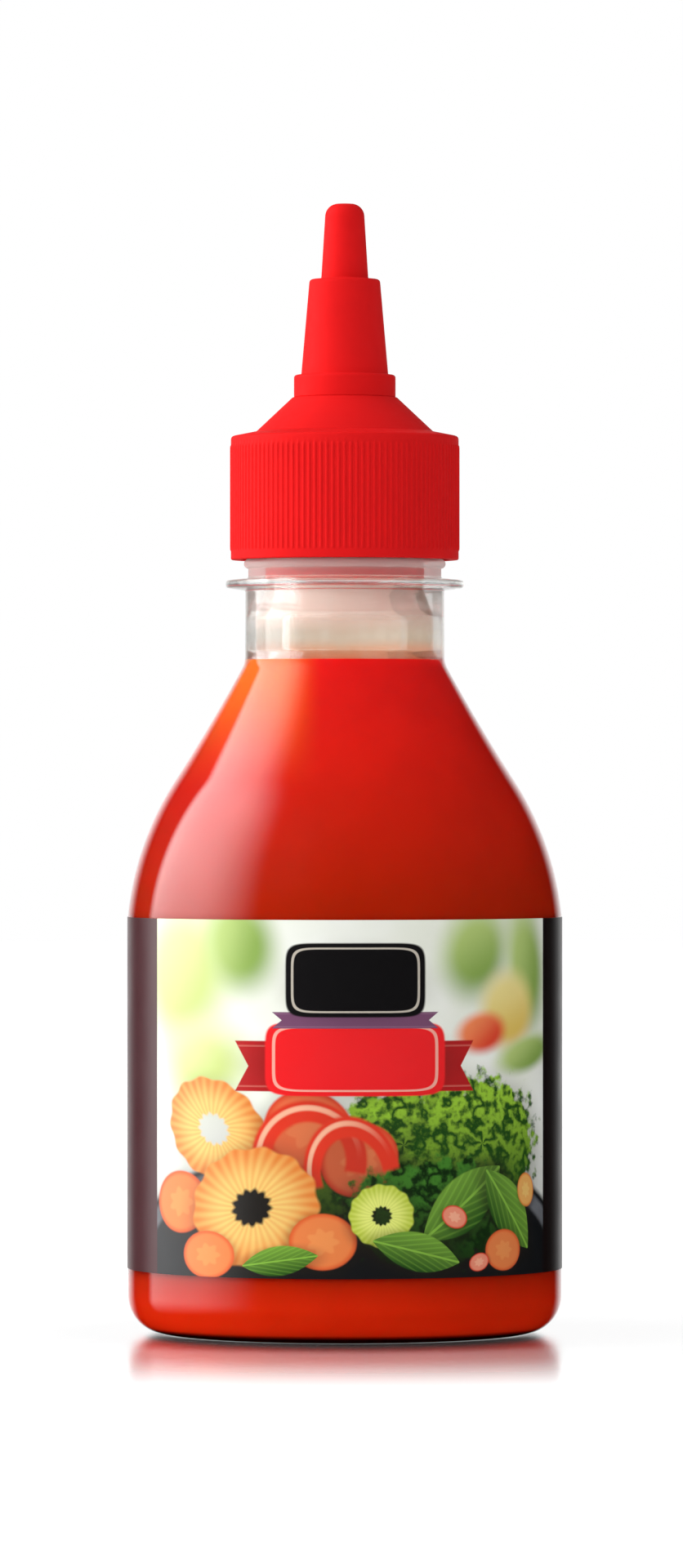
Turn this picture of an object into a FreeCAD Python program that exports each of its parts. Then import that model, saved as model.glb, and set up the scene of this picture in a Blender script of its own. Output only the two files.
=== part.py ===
"""A squeeze bottle of sweet and sour sauce, standing upright and closed.

The clear blown bottle stands on the origin with its axis along +Z. It holds sauce up to the
foot of its neck, wears a wrap-around film label, and is closed by a ribbed screw cap whose
spout carries a stepped twist nozzle. The front of the label faces -Y and its seam faces +Y.
Lengths are in millimetres and angles in degrees.
"""

import FreeCAD, Part
import math
import os
import re

import Sketcher

# name: (value, what it is). These are the only sizes; every other value is worked out from them.
DIMENSIONS = {
    # bottle body and base
    "body_radius": (29.85, "radius of the straight label panel"),
    "wall": (0.5, "blown wall of the body"),
    "corner_radius": (5.2, "round between the base and the body"),
    "foot_width": (3.6, "width of the flat ring that the bottle stands on"),
    "punt_height": (3.2, "rise of the base's middle"),
    "punt_blend": (1.2, "round between the foot ring and the raised middle"),
    "panel_top": (57.6, "height at which the label panel ends"),
    # shoulder
    "crease_angle": (6.0, "slope from upright where the shoulder leaves the panel"),
    "shoulder_radius": (42.0, "convex round of the shoulder"),
    "shoulder_slope": (33.0, "steepest slope of the shoulder, from upright"),
    "waist_radius": (230.0, "hollow round that runs up to the neck"),
    # neck and its finish
    "bore_radius": (10.9, "bore of the mouth"),
    "finish_wall": (2.4, "wall of the finish, above the ledge"),
    "finish_height": (18.0, "from the ledge to the rim of the mouth"),
    "mouth_bevel": (0.5, "bevel round the mouth"),
    "bead_lift": (1.3, "from the ledge to the bead under the cap"),
    "bead_height": (1.3, "height of that bead"),
    "bead_reach": (0.6, "how far the bead stands out of the finish"),
    "ledge_reach": (3.1, "how far the support ledge stands out of the finish"),
    "ledge_root": (1.7, "thickness of the ledge at the neck"),
    "ledge_rim": (1.0, "thickness of the ledge at its rim"),
    "ledge_round": (0.35, "round of the ledge's rim"),
    "neck_step": (0.4, "how far the neck stands out past the finish"),
    "neck_wall": (1.4, "wall of the neck under the ledge"),
    "neck_length": (10.0, "from the top of the shoulder to the ledge"),
    "neck_blend": (3.5, "round between the shoulder and the neck"),
    "thinning_length": (3.6, "length over which the finish thins to the neck"),
    # contents and label
    "headspace": (9.9, "from the ledge down to the level of the sauce"),
    "label_film": (0.12, "thickness of the label's film"),
    "label_lift": (3.8, "bare band between the base's round and the label"),
    "label_drop": (0.3, "bare band between the label and the panel's top"),
    "label_overlap": (12.0, "angle over which the label's ends overlap"),
    # cap
    "thread_gap": (1.15, "radial gap between the finish and the skirt"),
    "cap_wall": (1.25, "wall of the skirt"),
    "cap_plate": (2.2, "thickness of the cap's top"),
    "cap_gap": (2.5, "gap between the ledge and the skirt"),
    "cap_round": (0.5, "round at the top of the skirt"),
    "cap_bevel": (0.2, "bevel at the foot of the skirt"),
    "rib_count": (120, "number of grip ribs"),
    "rib_radius": (0.3, "radius of each grip rib"),
    "rib_relief": (0.12, "how far a rib stands out of the skirt"),
    "rib_margin": (1.2, "bare band of the skirt above and below the ribs"),
    "plug_reach": (18.2, "how far the cap's seal reaches into the mouth"),
    "plug_wall": (1.1, "wall of that seal"),
    "plug_clearance": (0.05, "radial clearance of the seal's bead in the bore"),
    "plug_bead": (1.5, "height of the bead round the seal's foot"),
    "plug_relief": (0.4, "how much slimmer the seal is above its bead"),
    "cone_shelf": (3.5, "sloping shelf round the foot of the cap's cone"),
    "shelf_drop": (0.7, "fall of that shelf from the cone out to the skirt"),
    "cone_height": (4.7, "height of the cone"),
    "cone_wall": (1.8, "upright thickness of the cone's wall"),
    "seat_margin": (0.2, "how far the cone's top stands out past the nozzle"),
    # spout and nozzle
    "spout_radius": (3.9, "outside of the cap's spout"),
    "spout_wall": (1.1, "wall of the spout"),
    "pin_radius": (0.65, "radius of the pin that shuts the nozzle"),
    "pin_recess": (0.2, "how far the pin's end lies under the nozzle's top"),
    "pin_clearance": (0.1, "radial clearance of the orifice round the pin"),
    "window_radius": (0.6, "radius of the sauce's ways round the pin"),
    "window_count": (4, "number of those ways"),
    "nozzle_clearance": (0.15, "clearance of the nozzle round and over the spout"),
    "collar_reach": (1.0, "how far the grip collar stands out past the barrel"),
    "collar_height": (3.1, "height of that collar"),
    "collar_round": (0.4, "round at the collar's top"),
    "barrel_wall": (0.8, "wall of the nozzle's barrel at its top"),
    "barrel_taper": (1.15, "how much wider the barrel is at its foot"),
    "barrel_height": (13.2, "height of the barrel"),
    "barrel_crown": (2.15, "thickness of the barrel's closed top"),
    "barrel_round": (0.5, "round at the barrel's top"),
    "tip_bore": (1.7, "bore of the tip"),
    "tip_wall": (1.55, "wall of the tip where it leaves the barrel"),
    "tip_taper": (0.65, "how much narrower the tip is at its top"),
    "tip_height": (10.4, "height of the tip"),
    "tip_land": (1.3, "thickness of the tip's end round the orifice"),
    "tip_flat": (0.1, "flat ring round the orifice, inside the tip's round end"),
}

# Places worked out from the sizes above, as formulas in their names.
PLACES = {
    "foot_outer": "(body_radius - corner_radius)",
    "foot_inner": "(foot_outer - foot_width)",
    "punt_sphere": "((punt_height ^ 2 + foot_inner ^ 2) / (2 * punt_height))",
    "finish_radius": "(bore_radius + finish_wall)",
    "neck_radius": "(finish_radius + neck_step)",
    "neck_bore": "(neck_radius - neck_wall)",
    "ledge_radius": "(finish_radius + ledge_reach)",
    "arch_x": "(body_radius - shoulder_radius * cos(crease_angle * 1 deg))",
    "arch_z": "(panel_top - shoulder_radius * sin(crease_angle * 1 deg))",
    "waist_x": "(arch_x + (shoulder_radius + waist_radius) * cos(shoulder_slope * 1 deg))",
    "waist_z": "(arch_z + (shoulder_radius + waist_radius) * sin(shoulder_slope * 1 deg))",
    "shoulder_top": "(waist_z - sqrt(waist_radius ^ 2 - (waist_x - neck_radius) ^ 2))",
    "ledge_bottom": "(shoulder_top + neck_length)",
    "ledge_top": "(ledge_bottom + ledge_root)",
    "mouth": "(ledge_top + finish_height)",
    "bead_foot": "(ledge_top + bead_lift)",
    "bead_top": "(bead_foot + bead_height)",
    "bead_section": "((bead_reach ^ 2 + (bead_height / 2) ^ 2) / (2 * bead_reach))",
    "fill_level": "(ledge_bottom - headspace)",
    "label_foot": "(corner_radius + label_lift)",
    "label_top": "(panel_top - label_drop)",
    "cap_foot": "(ledge_top + cap_gap)",
    "cap_top": "(mouth + cap_plate)",
    "skirt_top": "(cap_top - shelf_drop)",
    "skirt_bore": "(finish_radius + thread_gap)",
    "cap_radius": "(skirt_bore + cap_wall)",
    "plug_outer": "(bore_radius - plug_clearance)",
    "plug_neck": "(plug_outer - plug_relief)",
    "plug_inner": "(plug_outer - plug_wall)",
    "plug_foot": "(mouth - plug_reach)",
    "cone_radius": "(cap_radius - cone_shelf)",
    "seat": "(cap_top + cone_height)",
    "spout_bore": "(spout_radius - spout_wall)",
    "collar_top": "(seat + collar_height)",
    "barrel_end": "(collar_top + barrel_height)",
    "spout_top": "(barrel_end - barrel_crown - nozzle_clearance)",
    "nozzle_bore": "(spout_radius + nozzle_clearance)",
    "barrel_top": "(nozzle_bore + barrel_wall)",
    "barrel_foot": "(barrel_top + barrel_taper)",
    "collar_radius": "(barrel_foot + collar_reach)",
    "seat_radius": "(collar_radius + seat_margin)",
    "cone_slope": "(cone_height / (cone_radius - seat_radius))",
    "orifice_radius": "(pin_radius + pin_clearance)",
    "tip_foot": "(tip_bore + tip_wall)",
    "tip_top": "(tip_foot - tip_taper)",
    "tip_round": "(tip_top - orifice_radius - tip_flat)",
    "tip_end": "(barrel_end + tip_height)",
    "pin_end": "(tip_end - pin_recess)",
}

SHEET = "Dimensions"
WORD = re.compile(r"[a-z][a-z_]*")
FULL_TURN = 360.0

doc = FreeCAD.newDocument("sauce_bottle")
sheet = doc.addObject("Spreadsheet::Sheet", SHEET)


def fill_sheet():
    """Writes each dimension to its own row: its name, its value under an alias, and what it is."""
    for row, (name, (size, meaning)) in enumerate(DIMENSIONS.items(), start=1):
        sheet.set(f"A{row}", name)
        sheet.set(f"B{row}", str(size))
        sheet.setAlias(f"B{row}", name)
        sheet.set(f"C{row}", meaning)
    doc.recompute()


def spelled_out(formula):
    """The formula with each place in it replaced by the dimensions that it comes from."""
    while any(word in PLACES for word in WORD.findall(formula)):
        formula = WORD.sub(lambda found: PLACES.get(found[0], found[0]), formula)
    return formula


def linked(formula):
    """The formula as an expression that another object of the document can be bound to."""
    return WORD.sub(
        lambda found: f"{SHEET}.{found[0]}" if found[0] in DIMENSIONS else found[0],
        spelled_out(formula),
    )


def size_of(formula):
    """The value of a formula in millimetres, degrees or plain numbers."""
    found = sheet.evalExpression(spelled_out(formula))
    return float(getattr(found, "Value", found))


def new_body(label):
    body = doc.addObject("PartDesign::Body", label)
    body.Label = label
    return body


def datum(body, role):
    """One of the body's own origin planes or axes."""
    return next(item for item in body.Origin.OriginFeatures if item.Role == role)


def new_sketch(body, name, role):
    sketch = body.newObject("Sketcher::SketchObject", name)
    sketch.AttachmentSupport = [(datum(body, role), "")]
    sketch.MapMode = "FlatFace"
    return sketch


def bind(sketch, rule, name, formula):
    """Adds a constraint to a sketch and ties its value to a formula."""
    index = sketch.addConstraint(rule)
    sketch.renameConstraint(index, name)
    sketch.setExpression(f"Constraints.{name}", linked(formula))


class Outline:
    """A closed outline in an upright sketch whose corners and radii are bound to the sheet."""

    def __init__(self, body, name, x, z):
        self.sketch = new_sketch(body, name, "XZ_Plane")
        self.corners = [(x, z)]
        self.edges = []  # (curve, the end that is walked first, the end that is walked last)

    def line(self, x, z):
        start, end = self._next(x, z)
        self._add(Part.LineSegment(start, end), 1, 2)

    def arc(self, x, z, radius, leftward):
        """An arc to (x, z), which bends to the left or right as it is walked."""
        start, end = self._next(x, z)
        reach = size_of(radius)
        chord = end - start
        across = FreeCAD.Vector(-chord.y, chord.x, 0).normalize()
        depth = math.sqrt(reach**2 - (chord.Length / 2) ** 2)
        centre = (start + end) * 0.5 + across * (depth if leftward else -depth)
        first, last = (start, end) if leftward else (end, start)
        turn = [math.atan2(p.y - centre.y, p.x - centre.x) for p in (first, last)]
        if turn[1] <= turn[0]:
            turn[1] += 2 * math.pi
        circle = Part.Circle(centre, FreeCAD.Vector(0, 0, 1), reach)
        self._add(Part.ArcOfCircle(circle, *turn), *((1, 2) if leftward else (2, 1)))
        curve = self.edges[-1][0]
        bind(self.sketch, Sketcher.Constraint("Radius", curve, reach), f"radius{curve}", radius)

    def close(self):
        """Joins the last corner to the first, ties every corner to its place and gives the sketch."""
        self.line(*self.corners[0])
        for i, (curve, first, _) in enumerate(self.edges):
            before, _, last = self.edges[i - 1]
            self.sketch.addConstraint(Sketcher.Constraint("Coincident", before, last, curve, first))
            self._fix(curve, first, "X", self.corners[i][0])
            self._fix(curve, first, "Y", self.corners[i][1])
        return self.sketch

    def _next(self, x, z):
        ends = (self.corners[-1], (x, z))
        self.corners.append((x, z))
        return [FreeCAD.Vector(size_of(a), size_of(b), 0) for a, b in ends]

    def _add(self, curve, first, last):
        self.edges.append((self.sketch.addGeometry(curve, False), first, last))

    def _fix(self, curve, end, way, formula):
        if formula == "0":
            own_axis = -2 if way == "X" else -1
            self.sketch.addConstraint(Sketcher.Constraint("PointOnObject", curve, end, own_axis))
            return
        rule = Sketcher.Constraint(f"Distance{way}", curve, end, size_of(formula))
        bind(self.sketch, rule, f"{way.lower()}{curve}", formula)


def turned(body, kind, sketch, name, angle="360"):
    """A Revolution or Groove of a sketch about the upright axis."""
    feature = body.newObject(f"PartDesign::{kind}", name)
    feature.Profile = sketch
    feature.ReferenceAxis = (sketch, ["V_Axis"])
    feature.setExpression("Angle", linked(angle))
    doc.recompute()


def rings(shape, radius, height):
    """The names of the round edges of a shape at a radius and height."""
    wanted = size_of(radius), size_of(height)
    found = []
    for i, edge in enumerate(shape.Edges, start=1):
        if edge.Degenerated or not isinstance(edge.Curve, Part.Circle):
            continue
        centre = edge.Curve.Center
        on_axis = math.hypot(centre.x, centre.y) < 1e-4
        if on_axis and math.dist((edge.Curve.Radius, centre.z), wanted) < 1e-3:
            found.append(f"Edge{i}")
    assert found, f"no round edge at {wanted}"
    return found


def dressed(body, kind, name, size, *places):
    """A Fillet or Chamfer on the round edges at (radius, height) places of the body so far."""
    base = body.Tip
    feature = body.newObject(f"PartDesign::{kind}", name)
    feature.Base = (base, [edge for place in places for edge in rings(base.Shape, *place)])
    feature.setExpression("Radius" if kind == "Fillet" else "Size", linked(size))
    doc.recompute()


def round_prism(body, kind, name, centre, radius, foot, height):
    """A round Pad or Pocket that runs up from a height, with its centre on the X axis."""
    sketch = new_sketch(body, f"{name}_section", "XY_Plane")
    sketch.setExpression("AttachmentOffset.Base.z", linked(foot))
    middle = FreeCAD.Vector(size_of(centre), 0, 0)
    curve = sketch.addGeometry(Part.Circle(middle, FreeCAD.Vector(0, 0, 1), size_of(radius)), False)
    sketch.addConstraint(Sketcher.Constraint("PointOnObject", curve, 3, -1))
    bind(sketch, Sketcher.Constraint("DistanceX", curve, 3, size_of(centre)), "centre", centre)
    bind(sketch, Sketcher.Constraint("Radius", curve, size_of(radius)), "radius", radius)
    feature = body.newObject(f"PartDesign::{kind}", name)
    feature.Profile = sketch
    feature.Reversed = kind == "Pocket"
    feature.setExpression("Length", linked(height))
    doc.recompute()
    return feature


def patterned(body, feature, name, count):
    """Repeats a feature round the upright axis."""
    pattern = body.newObject("PartDesign::PolarPattern", name)
    pattern.Originals = [feature]
    pattern.Axis = (datum(body, "Z_Axis"), [""])
    pattern.Angle = FULL_TURN
    pattern.setExpression("Occurrences", linked(count))
    body.Tip = pattern
    doc.recompute()


def cavity(body, name):
    """The inside of the bottle, from its base up past its mouth, one wall inside its outline."""
    inside = "(body_radius - wall)"
    arch = "(shoulder_radius - wall)"
    waist = "(waist_radius + wall)"
    dome = "(punt_sphere + wall)"
    dome_centre = "(punt_height - punt_sphere)"
    outline = Outline(body, name, "0", "punt_height + wall")
    outline.arc(f"sqrt({dome} ^ 2 - (wall - {dome_centre}) ^ 2)", "wall", dome, leftward=False)
    outline.line("foot_outer", "wall")
    outline.arc(inside, "corner_radius", "corner_radius - wall", leftward=True)
    outline.line(inside, f"arch_z + sqrt({arch} ^ 2 - ({inside} - arch_x) ^ 2)")
    slope_x = f"arch_x + {arch} * cos(shoulder_slope * 1 deg)"
    slope_z = f"arch_z + {arch} * sin(shoulder_slope * 1 deg)"
    outline.arc(slope_x, slope_z, arch, leftward=True)
    neck_z = f"waist_z - sqrt({waist} ^ 2 - (waist_x - neck_bore) ^ 2)"
    outline.arc("neck_bore", neck_z, waist, leftward=False)
    outline.line("neck_bore", "ledge_bottom - thinning_length")
    outline.line("bore_radius", "ledge_bottom")
    outline.line("bore_radius", "mouth + 1")
    outline.line("0", "mouth + 1")
    return outline.close()


def make_bottle():
    """The clear bottle: base with a punt, straight panel, shoulder, neck, ledge, bead and finish."""
    body = new_body("bottle")
    outline = Outline(body, "bottle_outside", "0", "punt_height")
    outline.arc("foot_inner", "0", "punt_sphere", leftward=False)
    outline.line("foot_outer", "0")
    outline.arc("body_radius", "corner_radius", "corner_radius", leftward=True)
    outline.line("body_radius", "panel_top")
    slope_x = "arch_x + shoulder_radius * cos(shoulder_slope * 1 deg)"
    slope_z = "arch_z + shoulder_radius * sin(shoulder_slope * 1 deg)"
    outline.arc(slope_x, slope_z, "shoulder_radius", leftward=True)
    outline.arc("neck_radius", "shoulder_top", "waist_radius", leftward=False)
    outline.line("neck_radius", "ledge_bottom")
    outline.line("ledge_radius", "ledge_bottom + (ledge_root - ledge_rim) / 2")
    outline.line("ledge_radius", "ledge_bottom + (ledge_root + ledge_rim) / 2")
    outline.line("finish_radius", "ledge_top")
    outline.line("finish_radius", "bead_foot")
    outline.arc("finish_radius", "bead_top", "bead_section", leftward=True)
    outline.line("finish_radius", "mouth")
    outline.line("0", "mouth")
    turned(body, "Revolution", outline.close(), "bottle_blank")
    dressed(body, "Fillet", "shoulder_blend", "neck_blend", ("neck_radius", "shoulder_top"))
    dressed(body, "Fillet", "foot_blend", "punt_blend", ("foot_inner", "0"))
    rim_edges = [("ledge_radius", f"ledge_bottom + (ledge_root {sign} ledge_rim) / 2") for sign in "-+"]
    dressed(body, "Fillet", "rim_blend", "ledge_round", *rim_edges)
    dressed(body, "Chamfer", "mouth_edge", "mouth_bevel", ("finish_radius", "mouth"))
    turned(body, "Groove", cavity(body, "bottle_inside"), "bottle_cavity")
    return body


def make_sauce():
    """The sauce, which fills the bottle's inside up to its level."""
    body = new_body("sauce")
    turned(body, "Revolution", cavity(body, "sauce_inside"), "sauce_full")
    above = Outline(body, "above_level", "0", "fill_level")
    above.line("body_radius", "fill_level")
    above.line("body_radius", "mouth + 2")
    above.line("0", "mouth + 2")
    turned(body, "Groove", above.close(), "sauce_level")
    return body


def make_label():
    """The film label: once round the panel, with one end lying over the other at the back."""
    body = new_body("label")
    layers = {"wrap": ("body_radius", "360"), "lap": ("(body_radius + label_film)", "label_overlap")}
    for name, (inside, angle) in layers.items():
        outline = Outline(body, f"{name}_section", inside, "label_foot")
        outline.line(f"{inside} + label_film", "label_foot")
        outline.line(f"{inside} + label_film", "label_top")
        outline.line(inside, "label_top")
        turned(body, "Revolution", outline.close(), f"label_{name}", angle)
    seam_at_back = FreeCAD.Rotation(FreeCAD.Vector(0, 0, 1), 90)
    body.Placement = FreeCAD.Placement(FreeCAD.Vector(), seam_at_back)
    return body


def make_cap():
    """The screw cap: skirt, seal, cone, spout and pin in one turning, with ribs and sauce ways."""
    body = new_body("cap")
    outline = Outline(body, "cap_section", "0", "pin_end")
    outline.line("pin_radius", "pin_end")
    outline.line("pin_radius", "spout_top")
    outline.line("spout_radius", "spout_top")
    outline.line("spout_radius", "seat")
    outline.line("seat_radius", "seat")
    outline.line("cone_radius", "cap_top")
    outline.line("cap_radius", "skirt_top")
    outline.line("cap_radius", "cap_foot")
    outline.line("skirt_bore", "cap_foot")
    outline.line("skirt_bore", "mouth")
    outline.line("plug_neck", "mouth")
    outline.line("plug_neck", "plug_foot + plug_bead + plug_relief")
    outline.line("plug_outer", "plug_foot + plug_bead")
    outline.line("plug_outer", "plug_foot")
    outline.line("plug_inner", "plug_foot")
    outline.line("plug_inner", "cap_top - cone_wall + cone_slope * (cone_radius - plug_inner)")
    outline.line("spout_bore", "seat - cone_wall")
    outline.line("spout_bore", "spout_top - spout_wall")
    outline.line("0", "spout_top - spout_wall")
    turned(body, "Revolution", outline.close(), "cap_blank")
    dressed(body, "Fillet", "cap_edge", "cap_round", ("cap_radius", "skirt_top"))
    dressed(body, "Chamfer", "skirt_edge", "cap_bevel", ("cap_radius", "cap_foot"))
    sauce_ways(body)
    grip_ribs(body)
    return body


def sauce_ways(body):
    """The round ways for the sauce through the spout's end, about the pin."""
    before = body.Shape.Volume
    middle = "(pin_radius + spout_bore) / 2"
    end = "spout_top - spout_wall"
    window = round_prism(body, "Pocket", "window", middle, "window_radius", end, "spout_wall")
    patterned(body, window, "windows", "window_count")
    assert body.Shape.Volume < before, "the sauce ways cut nothing"


def grip_ribs(body):
    """Upright ribs round the skirt, between a bare band at its foot and one at its top."""
    middle = "cap_radius + rib_relief - rib_radius"
    length = "skirt_top - cap_foot - 2 * rib_margin"
    rib = round_prism(body, "Pad", "rib", middle, "rib_radius", "cap_foot + rib_margin", length)
    patterned(body, rib, "ribs", "rib_count")


def make_nozzle():
    """The twist nozzle: a grip collar, a tapered barrel and a narrower tip, over the spout and pin."""
    body = new_body("nozzle")
    outline = Outline(body, "nozzle_section", "orifice_radius", "tip_end")
    outline.line("orifice_radius", "tip_end - tip_land")
    outline.line("tip_bore", "tip_end - tip_land - (tip_bore - orifice_radius)")
    outline.line("tip_bore", "spout_top + nozzle_clearance")
    outline.line("nozzle_bore", "spout_top + nozzle_clearance")
    outline.line("nozzle_bore", "seat")
    outline.line("collar_radius", "seat")
    outline.line("collar_radius", "collar_top")
    outline.line("barrel_foot", "collar_top")
    outline.line("barrel_top", "barrel_end")
    outline.line("tip_foot", "barrel_end")
    outline.line("tip_top", "tip_end")
    turned(body, "Revolution", outline.close(), "nozzle_blank")
    dressed(body, "Fillet", "collar_edge", "collar_round", ("collar_radius", "collar_top"))
    dressed(body, "Fillet", "barrel_edge", "barrel_round", ("barrel_top", "barrel_end"))
    dressed(body, "Fillet", "tip_edge", "tip_round", ("tip_top", "tip_end"))
    return body


def checked(body):
    """Stops the build if a feature failed or the piece isn't one valid closed solid."""
    doc.recompute()
    for item in doc.Objects:
        assert not {"Invalid", "Error"} & set(item.State), f"{item.Name}: {item.State}"
    shape = body.Shape
    assert not shape.isNull() and shape.isValid() and len(shape.Solids) == 1, body.Label
    return shape


fill_sheet()
os.makedirs("parts", exist_ok=True)
for make in (make_bottle, make_sauce, make_label, make_cap, make_nozzle):
    piece = make()
    solid = checked(piece)
    solid.exportStep(os.path.join("parts", f"{piece.Label}.step"))
    box = solid.optimalBoundingBox()
    sides = " x ".join(f"{side:.2f}" for side in (box.XLength, box.YLength, box.ZLength))
    print(f"{piece.Label}: {sides} mm from z {box.ZMin:.2f}, {solid.Volume / 1000:.2f} ml")
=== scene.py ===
from functools import partialmethod

import bmesh
import bpy
import numpy as np
from bpy.props import FloatProperty, FloatVectorProperty, IntProperty, PointerProperty
from bpy.types import Operator, Panel, PropertyGroup
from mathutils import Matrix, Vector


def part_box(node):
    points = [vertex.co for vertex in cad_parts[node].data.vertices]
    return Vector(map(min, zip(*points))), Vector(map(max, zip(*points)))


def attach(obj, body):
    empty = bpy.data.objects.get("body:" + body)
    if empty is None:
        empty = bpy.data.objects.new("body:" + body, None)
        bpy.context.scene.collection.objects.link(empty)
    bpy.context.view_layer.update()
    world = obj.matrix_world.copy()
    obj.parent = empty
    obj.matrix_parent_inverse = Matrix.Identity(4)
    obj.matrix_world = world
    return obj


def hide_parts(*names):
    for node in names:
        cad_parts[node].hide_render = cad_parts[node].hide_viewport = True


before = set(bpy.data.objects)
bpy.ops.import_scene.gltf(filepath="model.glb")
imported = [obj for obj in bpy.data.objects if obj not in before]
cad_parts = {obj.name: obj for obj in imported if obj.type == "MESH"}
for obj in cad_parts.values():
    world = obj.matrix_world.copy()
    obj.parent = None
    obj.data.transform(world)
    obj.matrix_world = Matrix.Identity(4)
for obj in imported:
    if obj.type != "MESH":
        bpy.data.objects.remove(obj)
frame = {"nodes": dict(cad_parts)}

# A shut squeeze bottle of sweet and sour sauce, standing on the origin with its axis along +Z
# and the front of its label at -Y. Every visible piece is a surface worked out with numpy round
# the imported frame: the clear bottle, the sauce and what clings above it, the film label, the
# ribbed cap and the twist nozzle. Lengths are in metres, angles in degrees.

bl_info = {
    "name": "Sauce Bottle",
    "version": (1, 0, 0),
    "blender": (4, 5, 0),
    "location": "3D View > Sidebar > Sauce Bottle",
    "description": "Makes a shut squeeze bottle of sauce with its label, cap and studio",
    "category": "Add Mesh",
}

MM = 0.001
TINY = 1e-7  # two vertices nearer than this are one
WHITE = (1.0, 1.0, 1.0)

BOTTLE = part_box("bottle")
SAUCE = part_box("sauce")
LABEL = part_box("label")
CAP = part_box("cap")
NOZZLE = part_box("nozzle")


def length(name, description, default):
    return FloatProperty(name=name, description=description, default=default, unit="LENGTH", precision=5)


def number(name, description, default):
    return FloatProperty(name=name, description=description, default=default)


def whole(name, description, default):
    return IntProperty(name=name, description=description, default=default, min=1)


def colour(name, description, default):
    return FloatVectorProperty(
        name=name, description=description, default=default, subtype="COLOR", size=len(default), min=0, max=1
    )


class BottleSizes(PropertyGroup):
    """The clear bottle, in the sizes of its mould."""

    radius: length("Radius", "Outside of the straight panel", BOTTLE[1].x)
    mouth: length("Mouth", "Height of the rim of the mouth", BOTTLE[1].z)
    wall: length("Wall", "Blown wall of the body", 0.5 * MM)
    corner: length("Corner", "Round between the base and the body", 5.2 * MM)
    foot: length("Foot", "Width of the ring that the bottle stands on", 3.6 * MM)
    punt: length("Punt", "Rise of the base's middle", 3.2 * MM)
    punt_blend: length("Punt Blend", "Round between the foot ring and the middle", 1.2 * MM)
    panel_top: length("Panel Top", "Height at which the straight panel ends", LABEL[1].z + 0.3 * MM)
    crease: number("Crease", "Slope from upright where the shoulder leaves the panel", 6.0)
    shoulder: length("Shoulder", "Radius of the shoulder's convex round", 42 * MM)
    slope: number("Slope", "Steepest slope of the shoulder, from upright", 33.0)
    waist: length("Waist", "Radius of the hollow round under the neck", 230 * MM)
    neck: length("Neck", "Outside of the neck", 13.7 * MM)
    neck_wall: length("Neck Wall", "Wall of the neck", 1.4 * MM)
    neck_length: length("Neck Length", "From the shoulder to the ledge", 10.0 * MM)
    neck_blend: length("Neck Blend", "Round between the shoulder and the neck", 3.5 * MM)
    finish: length("Finish", "Outside of the neck above the ledge", 13.3 * MM)
    bore: length("Bore", "Bore of the mouth", 10.9 * MM)
    thinning: length("Thinning", "Length over which the finish thins to the neck", 3.6 * MM)
    ledge: length("Ledge", "Outside of the support ledge", 16.4 * MM)
    ledge_root: length("Ledge Root", "Thickness of the ledge at the neck", 1.7 * MM)
    ledge_rim: length("Ledge Rim", "Thickness of the ledge at its rim", 1.0 * MM)
    bead_lift: length("Bead Lift", "From the ledge to the bead under the cap", 1.3 * MM)
    bead_height: length("Bead Height", "Height of that bead", 1.3 * MM)
    bead_reach: length("Bead Reach", "How far that bead stands out", 0.6 * MM)
    mould_line: length("Mould Line", "How far the mould's two seams stand out", 0.035 * MM)
    unevenness: length("Unevenness", "How much the blown wall varies", 0.05 * MM)


class SauceSizes(PropertyGroup):
    """The sauce and the film that it leaves above its level."""

    level: length("Level", "Height of the sauce", SAUCE[1].z)
    overlap: length("Overlap", "How far the sauce reaches into the wall", 0.08 * MM)
    meniscus: length("Meniscus", "How high the sauce climbs at the wall", 0.3 * MM)
    smear: length("Smear", "Thickness of the film that clings above the level", 0.04 * MM)


class LabelSizes(PropertyGroup):
    """The film label."""

    bottom: length("Bottom", "Height of the lower edge", LABEL[0].z)
    top: length("Top", "Height of the upper edge", LABEL[1].z)
    radius: length("Radius", "Outside of the film", min(LABEL[1].x, -LABEL[0].x, -LABEL[0].y))
    film: length("Film", "Thickness of the film", LABEL[1].x - BOTTLE[1].x)
    overlap: number("Overlap", "Angle over which the ends overlap", 12.0)
    rise: number("Rise", "Angle over which the upper end climbs on the lower one", 3.0)
    panel_left: number("Panel Left", "Angle of the front panel's left edge", -58.4)
    panel_right: number("Panel Right", "Angle of the front panel's right edge", 64.3)


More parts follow.
